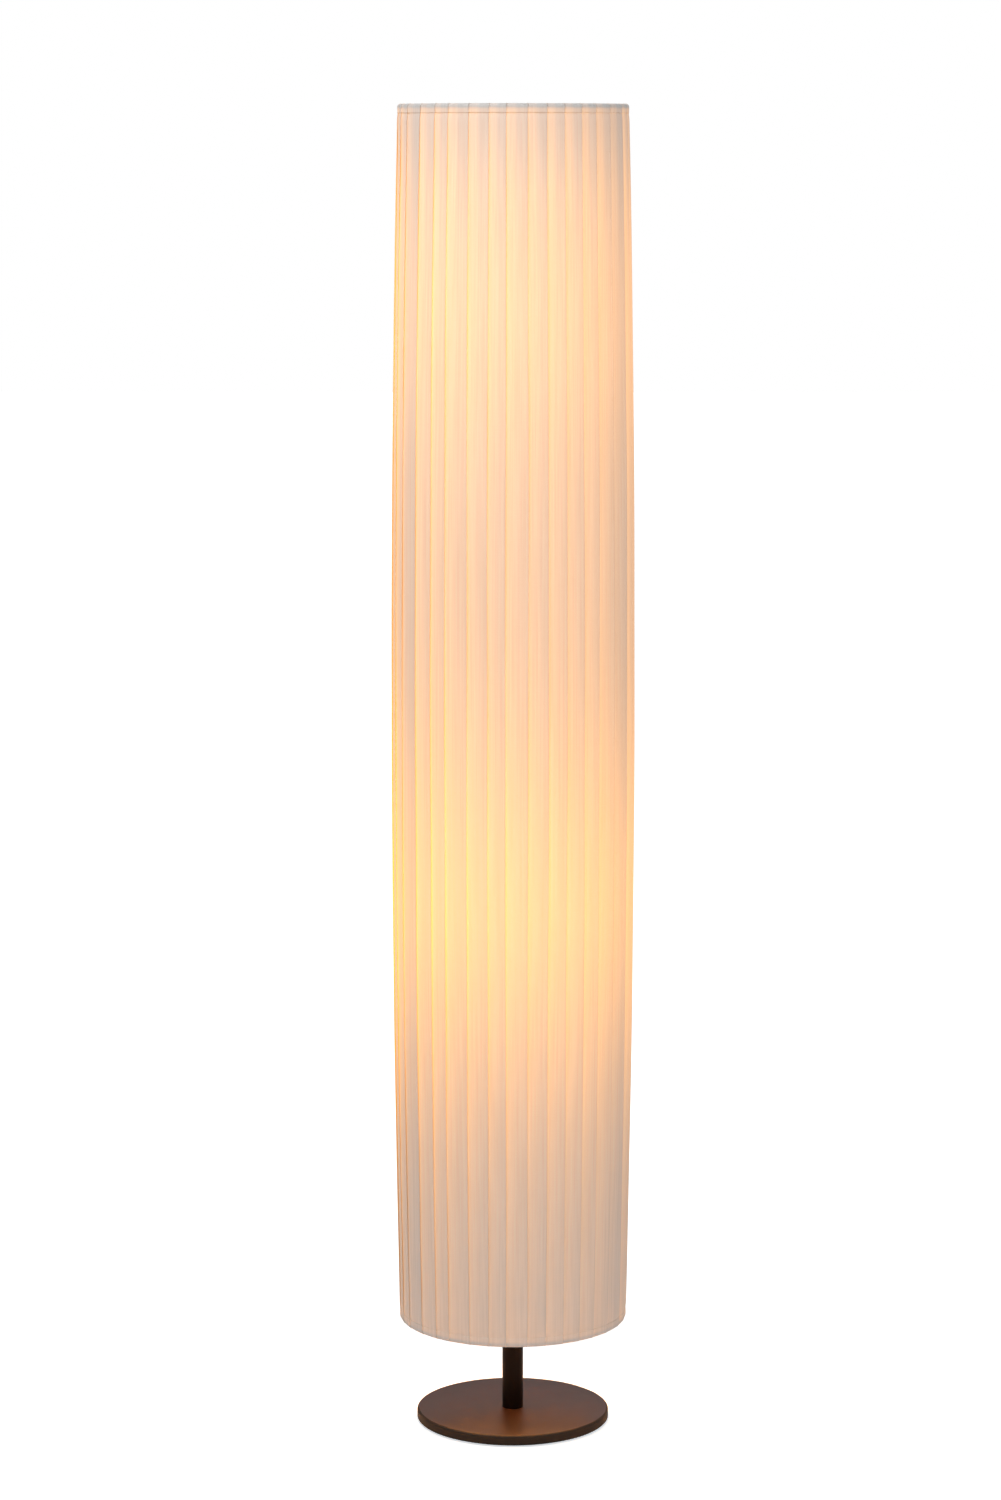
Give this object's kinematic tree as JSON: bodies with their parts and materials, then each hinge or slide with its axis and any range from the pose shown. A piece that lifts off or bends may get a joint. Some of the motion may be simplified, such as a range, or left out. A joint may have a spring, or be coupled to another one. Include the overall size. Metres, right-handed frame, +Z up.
{
  "type": "pleated floor lamp",
  "caption": "Tall floor lamp with a slim pleated barrel shade on a wire frame, held by a nut on a round tube stem with a flat round foot; inside are two globe bulbs in holders.",
  "frame": {"origin": "centre of the foot where it rests on the floor", "axes": "+Z up along the stem, -Y to the front, where the bulbs stand; +X to the right seen from the front"},
  "size_m": [0.2198, 0.2196, 1.2],
  "materials": {
    "stem_coat": "satin dark brown powder coat",
    "foot_pad": "matt foam pad",
    "zinc_steel": "zinc plated",
    "bush_rubber": "matt",
    "lead_sheath": "smooth sheath",
    "holder_resin": "moulded, satin",
    "holder_porcelain": "glazed insulator",
    "contact_brass": "rolled",
    "opal_glass": "opal, satin",
    "bulb_metal": "rolled",
    "bulb_insulation": "glassy",
    "frame_wire": "white coated wire",
    "shade_cloth": "pleated off-white cloth",
    "hem_cloth": "bound hem"
  },
  "bodies": {
    "stand": {"base_plate": "stem_coat", "base_pad": "foot_pad", "base_washer": "zinc_steel", "base_nut": "zinc_steel", "base_nipple": "zinc_steel", "stem_lower_tube": "stem_coat", "stem_middle_tube": "stem_coat", "stem_upper_tube": "stem_coat", "stem_plugs": "zinc_steel", "stem_nipples": "zinc_steel", "top_nipple": "zinc_steel", "cord_inlet": "bush_rubber", "lead_grommets": "bush_rubber", "holder_nuts": "zinc_steel", "holder_nipples": "zinc_steel", "lower_bracket": "stem_coat", "lower_lead": "lead_sheath", "lower_holder_cap": "holder_resin", "lower_holder_shell": "holder_resin", "lower_holder_block": "holder_porcelain", "lower_holder_socket": "contact_brass", "lower_holder_contact": "contact_brass", "upper_bracket": "stem_coat", "upper_lead": "lead_sheath", "upper_holder_cap": "holder_resin", "upper_holder_shell": "holder_resin", "upper_holder_block": "holder_porcelain", "upper_holder_socket": "contact_brass", "upper_holder_contact": "contact_brass"},
    "lower_bulb": {"lower_bulb_globe": "opal_glass", "lower_bulb_cap": "bulb_metal", "lower_bulb_insulator": "bulb_insulation", "lower_bulb_contact": "bulb_metal"},
    "upper_bulb": {"upper_bulb_globe": "opal_glass", "upper_bulb_cap": "bulb_metal", "upper_bulb_insulator": "bulb_insulation", "upper_bulb_contact": "bulb_metal"},
    "shade": {"shade_top_ring": "frame_wire", "shade_bottom_ring": "frame_wire", "shade_struts": "frame_wire", "spider_hub": "frame_wire", "spider_arms": "frame_wire", "shade_panel_right": "shade_cloth", "shade_panel_rear": "shade_cloth", "shade_panel_left": "shade_cloth", "shade_top_hem": "hem_cloth", "shade_bottom_hem": "hem_cloth", "top_washer": "zinc_steel"},
    "top_nut": {"top_nut": "stem_coat"}
  },
  "joints": [
    {"name": "lower_bulb_lift", "type": "slide", "parent": "stand", "child": "lower_bulb", "axis": [0, 0, 1], "range_m": [0, 0.04]},
    {"name": "upper_bulb_lift", "type": "slide", "parent": "stand", "child": "upper_bulb", "axis": [0, 0, 1], "range_m": [0, 0.04]},
    {"name": "shade_lift", "type": "slide", "parent": "stand", "child": "shade", "axis": [0, 0, 1], "range_m": [0, 1.12]},
    {"name": "top_nut_turn", "type": "hinge", "parent": "shade", "child": "top_nut", "pos_m": [0, 0, 1.19], "axis": [0, 0, 1], "continuous": true}
  ]
}
